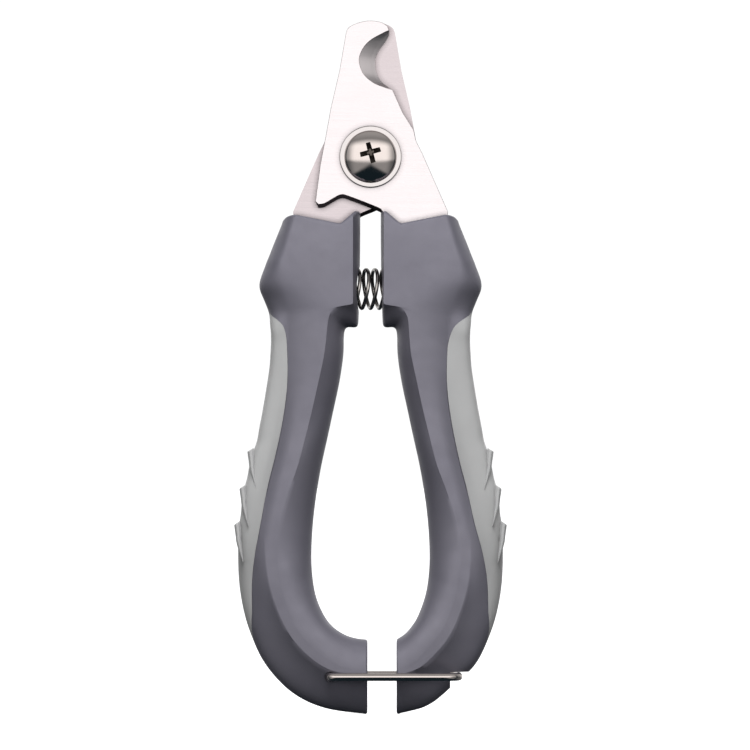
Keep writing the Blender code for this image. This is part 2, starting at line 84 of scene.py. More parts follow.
# Stations of a handle from the top down: inner edge, inner crease, outer crease and outer edge,
# the share of the outer flank's width that is bare core, the half thickness at the inner crease, how
# far the face drops towards the outer crease, how hard that crease is, how boxy the outer flank is,
# and how hard the inner crease is
STATIONS = [
    ((2.05, -10.0), (3.5, -10.0), (14.6, -10.0), (17.6, -10.0), 1.00, 6.4, 0.8, 0.0, 0.5, 0.5),
    ((2.05, -16.0), (3.5, -16.0), (16.0, -16.0), (19.35, -16.0), 1.00, 6.55, 0.8, 0.0, 0.5, 0.5),
    ((2.1, -21.0), (3.5, -21.0), (17.2, -21.0), (20.75, -21.0), 1.00, 6.6, 0.8, 0.0, 0.5, 0.5),
    ((2.1, -25.4), (3.5, -25.2), (17.8, -25.0), (22.3, -25.5), 1.00, 6.6, 1.0, 0.25, 0.5, 0.5),
    ((2.2, -28.8), (3.5, -28.5), (17.0, -28.4), (21.3, -28.6), 1.00, 6.6, 1.4, 0.45, 0.5, 0.5),
    ((2.35, -31.4), (3.7, -29.5), (16.45, -31.0), (20.3, -31.2), 1.00, 6.58, 1.7, 0.40, 0.6, 0.5),
    ((2.5, -33.6), (5.6, -29.7), (16.55, -33.2), (20.1, -33.4), 0.35, 6.56, 1.95, 0.15, 0.8, 0.5),
    ((3.2, -34.1), (7.1, -30.3), (16.7, -34.8), (19.95, -35.0), 0.10, 6.54, 2.1, 0.0, 0.9, 0.5),
    ((4.7, -34.1), (8.3, -31.9), (16.7, -36.6), (19.9, -37.0), 0.00, 6.52, 2.2, 0.0, 0.9, 0.5),
    ((5.3, -35.4), (8.7, -34.8), (16.6, -38.6), (20.0, -39.0), 0.00, 6.5, 2.2, 0.0, 0.9, 0.5),
    ((5.4, -39.5), (9.2, -39.4), (16.5, -41.8), (20.2, -42.0), 0.00, 6.5, 2.2, 0.0, 0.9, 0.5),
    ((6.2, -45.0), (10.4, -45.0), (16.6, -46.0), (20.8, -46.0), 0.00, 6.5, 2.2, 0.0, 0.9, 0.5),
    ((7.4, -50.6), (11.6, -50.4), (17.2, -51.0), (21.6, -50.8), 0.00, 6.5, 2.1, 0.0, 0.9, 0.5),
    ((8.6, -56.2), (13.0, -56.0), (18.2, -56.4), (22.7, -56.2), 0.00, 6.6, 2.0, 0.0, 0.9, 0.3),
    ((9.8, -61.6), (14.4, -61.4), (19.4, -61.6), (24.2, -61.6), 0.00, 6.65, 1.8, 0.0, 0.9, 0.35),
    ((10.8, -67.4), (16.4, -67.2), (20.8, -67.4), (25.5, -67.4), 0.00, 6.65, 1.5, 0.1, 0.9, 0.32),
    ((11.5, -73.2), (18.0, -73.4), (21.3, -73.4), (26.3, -73.2), 0.12, 6.6, 1.1, 0.45, 0.9, 0.25),
    ((11.8, -78.6), (18.6, -79.4), (21.0, -79.4), (26.5, -79.0), 0.37, 6.5, 0.7, 0.70, 0.78, 0.12),
    ((11.7, -83.0), (17.8, -85.0), (20.2, -85.4), (26.3, -85.0), 0.57, 6.4, 0.4, 0.85, 0.62, 0.0),
    ((11.0, -87.6), (16.4, -90.6), (18.4, -91.0), (25.4, -90.6), 0.75, 6.3, 0.3, 0.95, 0.55, 0.0),
]
LEFT_END = [
    ((9.5, -91.3), (14.2, -94.8), (16.0, -95.6), (23.9, -95.5), 0.97, 6.2, 0.2, 0.90, 0.5, 0.0),
    ((7.6, -93.9), (11.4, -98.0), (12.9, -99.2), (21.1, -101.4), 1.00, 6.1, 0.2, 0.95, 0.5, 0.0),
    ((5.0, -95.6), (8.0, -100.6), (9.2, -101.9), (15.8, -107.1), 1.00, 6.0, 0.2, 0.95, 0.5, 0.0),
    ((2.6, -96.3), (4.6, -102.0), (5.2, -103.2), (9.0, -110.3), 1.00, 5.9, 0.2, 0.95, 0.5, 0.0),
    ((0.6, -96.5), (0.6, -102.3), (0.6, -103.7), (0.6, -111.4), 1.00, 5.9, 0.2, 0.95, 0.5, 0.0),
]
RIGHT_END = [
    ((9.4, -92.0), (14.2, -94.8), (16.0, -95.6), (23.9, -95.5), 0.97, 6.2, 0.2, 0.90, 0.5, 0.0),
    ((7.8, -94.4), (11.4, -98.0), (12.9, -99.2), (21.1, -101.4), 1.00, 6.1, 0.2, 0.95, 0.5, 0.0),
    ((6.7, -95.5), (9.0, -100.6), (10.1, -101.8), (17.0, -105.2), 1.00, 6.0, 0.2, 0.95, 0.5, 0.0),
    ((5.8, -96.1), (6.6, -101.9), (7.0, -103.1), (11.6, -109.7), 1.00, 5.9, 0.2, 0.95, 0.5, 0.0),
    ((5.2, -96.5), (5.2, -102.2), (5.2, -103.7), (5.2, -111.4), 1.00, 5.9, 0.2, 0.95, 0.5, 0.0),
]
# How much further in the right handle's creases lie than the left one's: height, inner, outer
RIGHT_CREASES = [
    (-10, 0.85, 0.0), (-25, 0.85, 0.0), (-31, 0.9, 0.4), (-38, 1.1, 1.3), (-62, 1.2, 1.5),
    (-74, 0.8, 1.3), (-82, 0.5, 0.9), (-92, 0.3, 0.5), (-98, 0.0, 0.0),
]
ROWS_PER_STATION = 8
FLANK_STEPS = 12
FACE_STEPS = 21
EVEN_PASSES = 5
TONGUE_THICK = 0.5
TONGUE_OUT = 0.55
TONGUE_GAP = 0.06
GROOVE = 0.03
SEAM_GAP = 0.005
EDGE_ROUND = 0.45
ROUND_STEPS = 4

# Front face of a handle: how wide and how sharply it falls away to the outer crease, how boxy the
# inner flank is down the handle and at its end, and the shallow valley at the seam of core and pad
CROWN_WIDTH = 9.0
CROWN_POWER = 2.4
INNER_BOX = ((-98.0, 0.8), (-86.0, 0.5))
VALLEY = [(-96.0, 0.0), (-90.0, 0.3), (-84.0, 0.7), (-60.0, 0.8), (-52.0, 0.5), (-43.0, 0.0)]
VALLEY_CORE_WIDTH = 2.6
VALLEY_PAD_WIDTH = 2.2

# Top edge of a handle and the depth to which it shapes the block below it
TOP_EDGE = [
    (0.0, -10.9), (2.7, -10.9), (5.8, -13.4), (15.2, -11.6), (16.2, -11.7), (17.0, -12.0), (17.7, -12.7),
]
TOP_FOOT = -21.0

# Raised fins of a grip: the tips, then one fin's sections from its tip down (across and up from the
# tip, width), and the smaller ones that round its top (up from the tip, share of the width)
FIN_TIPS = [(24.6, -59.0), (26.2, -66.4), (27.25, -73.6)]
FIN_WIDTH = 1.25
FIN_LENGTH = 7.4
FIN_SECTIONS = [
    (0.0, 0.0, FIN_WIDTH), (-0.12, -0.9, 1.28), (-0.30, -2.2, 1.22),
    (-0.45, -3.4, 1.05), (-0.95, -5.2, 0.72), (-1.75, -FIN_LENGTH, 0.12),
]
FIN_CROWN = [(0.16, 0.80), (0.10, 0.93), (0.04, 0.98)]
FIN_SLANT = 0.62
FIN_PROUD = -0.10
FIN_SIDES = 28
SCOOP_DEPTH = 0.15
SCOOP_ABOVE = 2.3
SCOOP_WIDTH = 1.5

# Spring pocket with its boss, and the bail's hinge holes and seat
POCKET_START = 0.5
POCKET_GAP = 0.45
POCKET_FLOOR_GAP = 0.15
BOSS_GAP = 1.15
BOSS_LENGTH = 3.0
HINGE_GAP = 0.25
HINGE_DEPTH = 0.7
CUTTER_REACH = 9.0
SEAT_WALL = -0.85
SEAT_OUTLINE = [(SEAT_WALL, 0.87), (8.0, 0.87), (8.0, -6.2), (0.0, -4.0), (SEAT_WALL, -3.0)]

# Blade outline: crown, notch on the face and at the cutting edge, spine, tang, tail and back
BLADE_CROWN = [(-4.9, 24.8), (-4.3, 25.9), (-2.4, 26.8), (-0.2, 27.2), (2.1, 26.9), (3.4, 26.1)]
NOTCH_FACE = [
    (3.7, 25.3), (2.3, 24.7), (-0.15, 23.4), (-1.75, 21.7), (-2.55, 19.4),
    (-1.75, 16.8), (0.3, 14.9), (2.7, 13.9), (4.4, 13.4),
]
NOTCH_EDGE = [
    (3.75, 24.9), (3.6, 24.2), (2.8, 22.8), (1.6, 21.2), (0.9, 19.3),
    (1.2, 16.6), (2.3, 14.9), (3.5, 14.0), (4.45, 13.3),
]
NOTCH_FOOT = 12.5
BLADE_SPINE = [(6.4, 8.9), (8.6, 5.4), (9.1, 3.2), (10.4, 0.6), (15.5, -11.0)]
TANG_END = [(15.1, -14.0), (13.4, -16.6), (4.6, -16.6), (4.0, -12.6)]
TAIL_CURVE = [
    (2.3, -11.5), (1.4, -10.8), (-4.4, -8.55), (-6.0, -8.3), (-7.6, -9.1), (-9.2, -10.0), (-10.4, -10.2),
]
REAR_TAIL_CURVE = [
    (2.3, -12.3), (1.5, -11.8), (-1.4, -10.6), (-4.4, -8.9), (-6.0, -8.1), (-9.2, -9.5), (-10.4, -9.9),
]
BLADE_BACK = [(-11.0, -8.9), (-10.0, -1.4), (-8.7, 5.5), (-7.9, 9.9), (-6.2, 17.2)]
HOLLOW_RINGS = 8
HOLLOW_DEPTH = 0.62
HOLLOW_POWER = 0.9
EDGE_CHAMFER = 0.08
TAIL_CHAMFER = 0.8
TAIL_CHAMFER_DEPTH = 0.3
REAR_TAIL_CHAMFER_DEPTH = 0.6
# Heights and reach of the tail faces painted near-black as shade
TAIL_LEVELS = (-13.0, -7.0)
TAIL_ROOT = 3.0
BLADE_SHARP_ANGLE = 9

# Pivot hardware, spring and bail
BORE_RADIUS = 2.6
BORE_CHAMFER = 0.08
WASHER_ROUND = 0.22
EDGE_SUPPORT = 0.03
STACK_GAP = 0.06
HEAD_RIM = 0.45
SHANK_RADIUS = 2.5
SHANK_CHAMFER = 0.4
HEAD_CORNER = 0.15
RECESS_SPAN = 4.7
RECESS_WIDTH = 1.05
RECESS_DEPTH = 1.6
RECESS_TURN = math.radians(15)
RECESS_LIFT = 0.9
# How far out, and how far under the dome, the recess's faces are painted dark as shade
RECESS_REACH = 0.7
RECESS_SINK = 0.06
SPLIT_GAP = 16
SPLIT_STEPS = 120
NUT_SIDES = 96
SPRING_WIRE = 0.375
SPRING_PROUD = 0.1
SPRING_TURNS = 7
SPRING_LEAN = 0.20
BAIL_STUB = 3.4
BAIL_HOOK_RADIUS = 1.2
BAIL_CORNER_RADIUS = 3.0

# Studio: the camera, then the room's soft box, its glows, and the key panel
CAMERA_DISTANCE = 2.0
CAMERA_WIDTH = 0.150
CAMERA_SENSOR = 36.0
CAMERA_X = 0.0009
CAMERA_Z = -0.0436
FLOOR_RADIUS = 4.0
FLOOR_GAP = 0.0003
BOX_WIDE = (0.50, 0.98)
BOX_SIDES = 0.30
BOX_LOW = (-0.30, -0.12)
BOX_SPREAD = 0.7
BOX_FOOT = 0.25
BOX_MIDDLE = (-0.2, -0.05)
BOX_HIGH = (0.35, 0.7)
FRONT_GLOW = 1.66
BACK_GLOW = 0.9
TOP_GLOW = 0.5
ROOM_GLOW = 0.03
BACKDROP_GLOW = 1.05
KEY_WATTS = 2.7
KEY_REACH = 0.42
KEY_LIFT = 50.0
KEY_DROP = 0.02
KEY_SIZE = (0.28, 0.20)
KEY_AIM = Vector((0, 0, -0.03))


# ---------------------------------------------------------------- mesh helpers

def smooth_path(points, steps):
    """Catmull-Rom curve through rows of numbers, with this many steps between neighbours."""
    rows = np.array(points, float)
    padded = np.vstack([2 * rows[0] - rows[1], rows, 2 * rows[-1] - rows[-2]])
    made = []
    for before, start, end, after in zip(padded, padded[1:], padded[2:], padded[3:]):
        for step in range(steps):
            t = step / steps
            made.append(
                start
                + 0.5 * t * (end - before)
                + t * t * (before - 2.5 * start + 2 * end - 0.5 * after)
                + t * t * t * (1.5 * (start - end) + 0.5 * (after - before))
            )
    made.append(rows[-1])
    return np.array(made)


def evened(rows):
    """Takes small ripples out of a list of rows, and leaves the end rows alone."""
    for _ in range(EVEN_PASSES):
        rows[1:-1] = (rows[:-2] + 2 * rows[1:-1] + rows[2:]) / 4
    return rows


def half_matrix(side):
    """From half coordinates in millimetres to the frame in metres. side is 1 for right, -1 for left."""
    turn = Matrix.Diagonal((side * MM, side * MM, MM, 1.0))
    return Matrix.Translation((0, MID_Y * MM, 0)) @ turn


def framed(name, shell, matrix):
    """Welds a bmesh, puts it in the frame and links it as an object."""
    bmesh.ops.remove_doubles(shell, verts=shell.verts, dist=WELD)
    bmesh.ops.transform(shell, matrix=matrix, verts=shell.verts)
    bmesh.ops.recalc_face_normals(shell, faces=shell.faces)
    mesh = bpy.data.meshes.new(name)
    shell.to_mesh(mesh)
    shell.free()
    made = bpy.data.objects.new(name, mesh)
    bpy.context.scene.collection.objects.link(made)
    return made


def smooth_faces(mesh, angle):
    """Shades a mesh smooth, except across edges sharper than the angle in degrees."""
    mesh.shade_smooth()
    mesh.set_sharp_from_angle(angle=math.radians(angle))


def mesh_piece(name, shell, body, matrix, material, node=None, angle=SHARP_ANGLE):
    """A smooth piece that rides on a body and stands in for a CAD node."""
    piece = framed(name, shell, matrix)
    piece.data.materials.append(material)
    smooth_faces(piece.data, angle)
    if body:
        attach(piece, body)
    if node:
        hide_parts(node)
    return piece


def ring_shell(rings, endless=False, capped=True):
    """A bmesh skin over rings of points, with a face on the first and the last ring if capped."""
    shell = bmesh.new()
    loops = [[shell.verts.new(point) for point in ring] for ring in rings]
    pairs = list(zip(loops, loops[1:]))
    if endless:
        pairs.append((loops[-1], loops[0]))
    for first, second in pairs:
        for i in range(len(first)):
            j = (i + 1) % len(first)
            shell.faces.new((first[i], first[j], second[j], second[i]))
    if capped and not endless:
        shell.faces.new(loops[0][::-1])
        shell.faces.new(loops[-1])
    return shell


def strip_cap(shell, loop):
    """Closes a ring that is the same in front and behind with strips across its thickness."""
    half = len(loop) // 2
    for i in range(half - 1):
        shell.faces.new((loop[i], loop[i + 1], loop[-2 - i], loop[-1 - i]))


def plate_shell(front, back, y_front, y_back):
    return ring_shell([[(x, y_front, z) for x, z in front], [(x, y_back, z) for x, z in back]])


def turned_shell(profile, segments=TURNED_SIDES):
    """A closed outline of (radius, height) turned round z."""
    rings = []
    for i in range(segments):
        angle = 2 * math.pi * i / segments
        rings.append([(r * math.cos(angle), r * math.sin(angle), h) for r, h in profile])
    return ring_shell(rings, endless=True)


def tube_shell(path, radius, sides):
    """A round tube along a path of points."""
    points = [Vector(point) for point in path]
    rings = []
    across = None
    for i, point in enumerate(points):
        along = (points[min(i + 1, len(points) - 1)] - points[max(i - 1, 0)]).normalized()
        if across is None:
            across = along.orthogonal().normalized()
        across = (across - along * across.dot(along)).normalized()
        up = along.cross(across)
        angles = [2 * math.pi * k / sides for k in range(sides)]
        rings.append([point + radius * (math.cos(a) * across + math.sin(a) * up) for a in angles])
    return ring_shell(rings)


def cut_now(piece, cutters, angle=SHARP_ANGLE):
    """Cuts the cutters away, keeps the result as the piece's mesh and removes the cutters."""
    for cutter in cutters:
        modifier = piece.modifiers.new("cut", "BOOLEAN")
        modifier.operation = "DIFFERENCE"
        modifier.solver = "EXACT"
        modifier.object = cutter
    graph = bpy.context.evaluated_depsgraph_get()
    mesh = bpy.data.meshes.new_from_object(piece.evaluated_get(graph))
    piece.modifiers.clear()
    piece.data = mesh
    smooth_faces(mesh, angle)
    for cutter in cutters:
        bpy.data.objects.remove(cutter, do_unlink=True)


def soften(piece, width, angle):
    """Breaks the piece's sharp edges by a small round."""
    modifier = piece.modifiers.new("edge", "BEVEL")
    modifier.width = width * MM
    modifier.segments = 2
    modifier.limit_method = "ANGLE"
    modifier.angle_limit = math.radians(angle)
    modifier.harden_normals = True


# ---------------------------------------------------------------- material helpers

class Wiring:
    """A short way to wire nodes in a tree."""

    def __init__(self, tree):
        self.tree = tree

    def add(self, kind, **settings):
        node = self.tree.nodes.new(kind)
        for key, value in settings.items():
            setattr(node, key, value)
        return node

    def feed(self, socket, value):
        if hasattr(value, "is_linked"):
            self.tree.links.new(value, socket)
        else:
            socket.default_value = value

    def maths(self, operation, first, second=0.0):
        node = self.add("ShaderNodeMath", operation=operation)
        self.feed(node.inputs[0], first)
        self.feed(node.inputs[1], second)
        return node.outputs["Value"]

    def total(self, *values):
        made = values[0]
        for value in values[1:]:
            made = self.maths("ADD", made, value)
        return made

    def product(self, *values):
        made = values[0]
        for value in values[1:]:
            made = self.maths("MULTIPLY", made, value)
        return made

    def ramp(self, value, low, high):
        """Rises smoothly from 0 to 1 between low and high."""
        node = self.add("ShaderNodeMapRange", interpolation_type="SMOOTHSTEP")
        self.feed(node.inputs["Value"], value)
        node.inputs["From Min"].default_value = low
        node.inputs["From Max"].default_value = high
        return node.outputs["Result"]

    def glow(self, colour, strength):
        node = self.add("ShaderNodeBackground")
        node.inputs["Color"].default_value = colour
        self.feed(node.inputs["Strength"], strength)
        return node.outputs["Background"]

    def seen_or_lit(self, lit, seen):
        """One shader for what lights the object and another for what the camera sees."""
        node = self.add("ShaderNodeMixShader")
        self.feed(node.inputs["Fac"], self.add("ShaderNodeLightPath").outputs["Is Camera Ray"])
        self.feed(node.inputs[1], lit)
        self.feed(node.inputs[2], seen)
        return node.outputs["Shader"]


class Shader(Wiring):
    """A new material around one surface node."""

    def __init__(self, name):
        self.material = bpy.data.materials.new(name)
        self.material.use_nodes = True
        super().__init__(self.material.node_tree)
        self.surface = self.tree.nodes["Principled BSDF"]
        self.place = self.add("ShaderNodeTexCoord").outputs["Object"]

    def stretched(self, scale):
        node = self.add("ShaderNodeMapping")
        self.feed(node.inputs["Vector"], self.place)
        node.inputs["Scale"].default_value = scale
        return node.outputs["Vector"]

    def noise(self, scale, detail=3.0, roughness=0.5, stretch=None):
        node = self.add("ShaderNodeTexNoise")
        self.feed(node.inputs["Vector"], self.stretched(stretch) if stretch else self.place)
        node.inputs["Scale"].default_value = scale
        node.inputs["Detail"].default_value = detail
        node.inputs["Roughness"].default_value = roughness
        return node.outputs["Fac"]

    def ranged(self, value, low, high, to_low, to_high):
        node = self.add("ShaderNodeMapRange")
        self.feed(node.inputs["Value"], value)
        node.inputs["From Min"].default_value = low
        node.inputs["From Max"].default_value = high
        node.inputs["To Min"].default_value = to_low
        node.inputs["To Max"].default_value = to_high
        return node.outputs["Result"]

    def mixed(self, share, first, second):
        node = self.add("ShaderNodeMix", data_type="RGBA")
        self.feed(node.inputs["Factor"], share)
        self.feed(node.inputs["A"], first)
        self.feed(node.inputs["B"], second)
        return node.outputs["Result"]

    def clouded(self, cloud, first, second):
        """Two colours in soft patches."""
        return self.mixed(self.ranged(cloud, 0.3, 0.7, 0.0, 1.0), first, second)

    def bump(self, height, distance, strength=1.0, normal=None):
        node = self.add("ShaderNodeBump")
        node.inputs["Distance"].default_value = distance
        node.inputs["Strength"].default_value = strength
        self.feed(node.inputs["Height"], height)
        if normal is not None:
            self.feed(node.inputs["Normal"], normal)
        return node.outputs["Normal"]

    def set(self, **values):
        for key, value in values.items():
            self.feed(self.surface.inputs[key.replace("_", " ")], value)


def rgb(red, green, blue):
    return (red, green, blue, 1.0)


def shade(tone, share):
    """A share of a colour's brightness."""
    return rgb(*[value * share for value in tone])


def core_plastic():
    """Satin moulded slate plastic with a fine spark-eroded grain."""
    shader = Shader("handle_core_plastic")
    base = shader.clouded(shader.noise(90, 4, 0.6), rgb(0.151, 0.146, 0.178), rgb(0.167, 0.161, 0.193))
    grain = shader.noise(9000, 2, 0.6)
    patches = shader.noise(350, 3, 0.5)
    rough = shader.ranged(patches, 0.3, 0.7, 0.40, 0.50)
    flow = shader.bump(shader.noise(120, 2), 0.00004, 0.5)
    shader.set(
        Base_Color=base,
        Metallic=0.5,
        Roughness=rough,
        Specular_IOR_Level=0.8,
        Normal=shader.bump(grain, 0.000012, 0.6, flow),
    )
    return shader.material


def grip_rubber(name, grey):
    """Matt light grey elastomer, finely pebbled."""
    shader = Shader(name)
    pale = rgb(grey, grey * 1.005, grey * 1.005)
    dark = rgb(grey * 0.925, grey * 0.93, grey * 0.93)
    base = shader.clouded(shader.noise(70, 4, 0.6), dark, pale)
    pebble = shader.noise(5200, 3, 0.55)
    rough = shader.ranged(shader.noise(500, 2), 0.3, 0.7, 0.58, 0.70)
    shader.set(
        Base_Color=base,
        Roughness=rough,
        Specular_IOR_Level=0.35,
        Sheen_Weight=0.25,
        Normal=shader.bump(pebble, 0.00002, 0.7),
    )
    return shader.material


def ground_steel(name, tone, rougher=0.0):
    """Stainless plate: grinding lines along x, a few deeper scratches, light stains, and painted shade that
    darkens its close corners.
    """
    shader = Shader(name)
    stretch = (40.0, 1.0, 9000.0)
    lines = shader.noise(1.0, 5, 0.7, stretch)
    coarse = shader.noise(0.35, 2, 0.5, stretch)
    stain = shader.ranged(shader.noise(160, 3, 0.55), 0.35, 0.75, 0.0, 1.0)
    pale = shader.mixed(lines, shade(tone, 0.93), rgb(*tone))
    stained = shader.mixed(shader.product(stain, 0.25), pale, shade(tone, 0.86))
    # Painted shade: ambient occlusion darkens the colour to a quarter in close corners and where parts touch.
    corner = shader.add("ShaderNodeAmbientOcclusion", samples=8)
    corner.inputs["Distance"].default_value = 1.2 * MM
    shader.set(
        Base_Color=shader.mixed(corner.outputs["AO"], shade(tone, 0.25), stained),
        Metallic=1.0,
        Roughness=shader.ranged(lines, 0.3, 0.7, 0.22 + rougher, 0.34 + rougher),
        Anisotropic=0.4,
        Normal=shader.bump(shader.total(lines, coarse), 0.0000022, 0.8),
    )
    return shader.material


def bright_plate(name, tone, roughness):
    """Bright nickel plating with hairline handling marks and a faint orange peel."""
    shader = Shader(name)
    marks = shader.noise(1.0, 3, 0.6, (2500.0, 300.0, 2500.0))
    peel = shader.noise(900, 2, 0.5)
    shader.set(
        Base_Color=shader.mixed(shader.noise(300, 2), shade(tone, 0.93), rgb(*tone)),
        Metallic=1.0,
        Roughness=shader.ranged(marks, 0.35, 0.7, roughness, roughness + 0.07),
        Normal=shader.bump(shader.total(marks, peel), 0.0000015, 0.6),
    )
    return shader.material


# ---------------------------------------------------------------- handles and grips

def at(place, height):
    """A point in front of a place (x, z) by a height."""
    return np.array([place[0], -height, place[1]])


def flank_point(top, foot, height, crease, box, t):
    """A point on the side that falls from a crease to the parting edge, which it meets square on."""
    leave = at(top + box * (foot - top), height * (1 - 0.5 * crease))
    meet = at(foot, height * (box - 0.05))
    return (
        (1 - t) ** 3 * at(top, height) + 3 * t * (1 - t) ** 2 * leave
        + 3 * t * t * (1 - t) * meet + t ** 3 * at(foot, 0.0)
    )


def face_height(x, outer_crease, thick, drop):
    """The front face: level at first, then falling away towards the outer crease."""
    return thick - drop * max(0.0, 1 - (outer_crease[0] - x) / CROWN_WIDTH) ** CROWN_POWER


def sink(points, seam, width):
    """Lowers a front face towards the seam between core and pad, which lies in a shallow valley."""
    depth = np.interp(seam[1], *zip(*VALLEY))
    for point in points:
        away = np.linalg.norm(point[[0, 2]] - seam)
        point[1] += depth * max(0.0, 1 - away / width) ** 2


def both_faces(front):
    """A ring from its front half: the back mirrors the front."""
    return front + [point * (1, -1, 1) for point in front[::-1]]


def flank_share(width_share, box):
    """Where along a flank's curve a share of its width is reached."""
    t = np.linspace(0, 1, 101)
    return np.interp(width_share, 3 * t * (1 - t) ** 2 * box + 3 * t * t * (1 - t) + t ** 3, t)


def sections(side, end):
    """Close-set stations from the top down, as the arguments of handle_ring."""
    flat = [[*np.ravel(row[:4]), *row[4:]] for row in STATIONS + end]
    rows = evened(smooth_path(flat, ROWS_PER_STATION))
    levels, inner_shift, outer_shift = np.array(RIGHT_CREASES[::-1]).T
    for row in rows:
        if side > 0:
            row[2] -= np.interp(row[3], levels, inner_shift)
            row[4] -= np.interp(row[5], levels, outer_shift)
        row[8] = flank_share(min(max(row[8], 0.0), 1.0), row[12])
        row[6] -= scoop(row[7])
        yield row[0:2], row[2:4], row[4:6], row[6:8], *row[8:]


def scoop(z):
    """How far the outer edge is hollowed just above each fin."""
    away = [(z - (tip_z + SCOOP_ABOVE)) / SCOOP_WIDTH for _, tip_z in FIN_TIPS]
    return sum(SCOOP_DEPTH * math.exp(-a * a) for a in away)


def handle_ring(inner_edge, inner_crease, outer_crease, outer_edge,
                share, thick, drop, hardness, box, inner_hardness):
    """One section of a core: inner flank, face, bare outer flank, groove and the tongue under the pad."""
    steps = range(FLANK_STEPS + 1)
    low = thick - drop
    high = face_height(inner_crease[0], outer_crease, thick, drop)
    inner_box = np.interp(inner_crease[1], *zip(*INNER_BOX))
    front = [
        flank_point(inner_crease, inner_edge, high, inner_hardness, inner_box, 1 - i / FLANK_STEPS)
        for i in steps
    ]
    for i in range(1, FACE_STEPS):
        place = inner_crease + i / FACE_STEPS * (outer_crease - inner_crease)
        front.append(at(place, face_height(place[0], outer_crease, thick, drop)))
    front += [
        flank_point(outer_crease, outer_edge, low, hardness, box, share * i / FLANK_STEPS) for i in steps
    ]
    edge = front[-1]
    place = edge[[0, 2]]
    sink(front, place, VALLEY_CORE_WIDTH)
    outwards = outer_edge - place
    size = GROOVE * min(1.0, np.linalg.norm(outwards) / 2)
    front.append(at(place + 0.6 * size * np.sign(outwards), -edge[1] - 2 * size))
    tongue = -edge[1] * TONGUE_THICK
    front.append(at(place + 0.04 * outwards, tongue))
    front.append(at(place + TONGUE_OUT * outwards, tongue))
    return both_faces(front)


def top_height(x):
    return np.interp(x, *zip(*TOP_EDGE))


def shaped_top(ring):
    """Slides a ring's points up or down so that the block ends in its notched top edge."""
    made = []
    for x, y, z in ring:
        share = max(0.0, (z - TOP_FOOT) / (STATIONS[0][0][1] - TOP_FOOT))
        made.append(np.array([x, y, z + share * (top_height(x) - EDGE_ROUND - STATIONS[0][0][1])]))
    return made


def rounded_end(ring, way):
    """Rings that turn the end of a handle over a small radius, in the given direction."""
    points = np.array(ring)
    across = 1.0 - np.abs(way)
    spread = (points - points.mean(0)) * across
    size = np.abs(spread).max(0)
    size[size == 0] = 1.0
    made = []
    for i in range(1, ROUND_STEPS + 1):
        angle = math.pi / 2 * i / ROUND_STEPS
        inwards = EDGE_ROUND * (1 - math.cos(angle)) / size * spread
        made.append(points - inwards + EDGE_ROUND * math.sin(angle) * np.array(way))
    return made


def handle_shell(side, end):
    """The whole core, closed by strips across its thickness at both ends."""
    rings = [np.array(shaped_top(handle_ring(*row))) for row in sections(side, end)]
    rings[-1] = rings[-1] + np.array([EDGE_ROUND, 0, 0])
    rings = rounded_end(rings[0], (0, 0, 1))[::-1] + rings + rounded_end(rings[-1], (-1, 0, 0))
    shell = ring_shell(rings, capped=False)
    shell.verts.ensure_lookup_table()
    count = len(rings[0])
    strip_cap(shell, [shell.verts[i] for i in range(count)])
    strip_cap(shell, [shell.verts[i] for i in range(len(shell.verts) - count, len(shell.verts))])
    return shell


def grip_ring(outer_crease, outer_edge, share, thick, drop, hardness, box):
    """One section of a pad: the covered outer flank, its lip at the seam and its seat on the tongue."""
    low = thick - drop
    core = flank_point(outer_crease, outer_edge, low, hardness, box, share)
    place = core[[0, 2]]
    size = GROOVE * min(1.0, np.linalg.norm(outer_edge - place) / 2)
    start = share + (1 - share) * SEAM_GAP
    steps = [start + (1 - start) * i / FLANK_STEPS for i in range(FLANK_STEPS + 1)]
    outside = [flank_point(outer_crease, outer_edge, low, hardness, box, t) for t in steps]
    sink(outside, place, VALLEY_PAD_WIDTH)
    sink([core], place, VALLEY_CORE_WIDTH)
    tongue = -core[1] * TONGUE_THICK + size
    inner_place = outside[0][[0, 2]]
    lip = at(inner_place, max(-outside[0][1] - 1.5 * size, tongue))
    tip = place + (TONGUE_OUT + TONGUE_GAP) * (outer_edge - place)
    return both_faces([at(tip, tongue), at(inner_place, tongue), lip, *outside])


def grip_shell(side, end):
    rows = list(sections(side, end))
    covered = [i for i, row in enumerate(rows) if row[4] < 1.0]
    rings = [grip_ring(*rows[i][2:9]) for i in range(covered[0] - 1, covered[-1] + 2)]
    return ring_shell(rings, capped=False)


def fin_shell(tip):
    """A low ridge: widest at its slanting top, tapering down and inwards to a point."""
    x, z = tip
    rings = []
    for lift, shrink in FIN_CROWN:
        height = (pad_height(z) + FIN_PROUD) * (0.9 + 0.1 * shrink)
        rings.append(fin_ring(x - 0.6 * (1 - shrink), z + lift, FIN_WIDTH * shrink, height, FIN_SLANT))
    for dx, dz, wide in smooth_path(FIN_SECTIONS, 4):
        slant = FIN_SLANT * (1 + dz / FIN_LENGTH)
        rings.append(fin_ring(x + dx, z + dz, wide, pad_height(z + dz) + FIN_PROUD, slant))
    return ring_shell(rings)


def fin_ring(x, z, wide, height, slant):
    """A rounded section from the outer edge inwards; its inner side is higher up by the slant."""
    ring = []
    for i in range(FIN_SIDES):
        angle = 2 * math.pi * i / FIN_SIDES
        across = math.copysign(abs(math.cos(angle)) ** 0.7, math.cos(angle))
        up = math.copysign(abs(math.sin(angle)) ** 0.45, math.sin(angle))
        inward = wide * (1 - across) / 2
        ring.append((x - inward, -height * up, z + slant * inward / max(wide, 0.3)))
    return ring


def pad_height(z):
    """How far the pad's face stands in front of the plane between the blades."""
    levels = [row[3][1] for row in STATIONS[::-1]]
    return np.interp(z, levels, [row[5] - row[6] for row in STATIONS[::-1]])


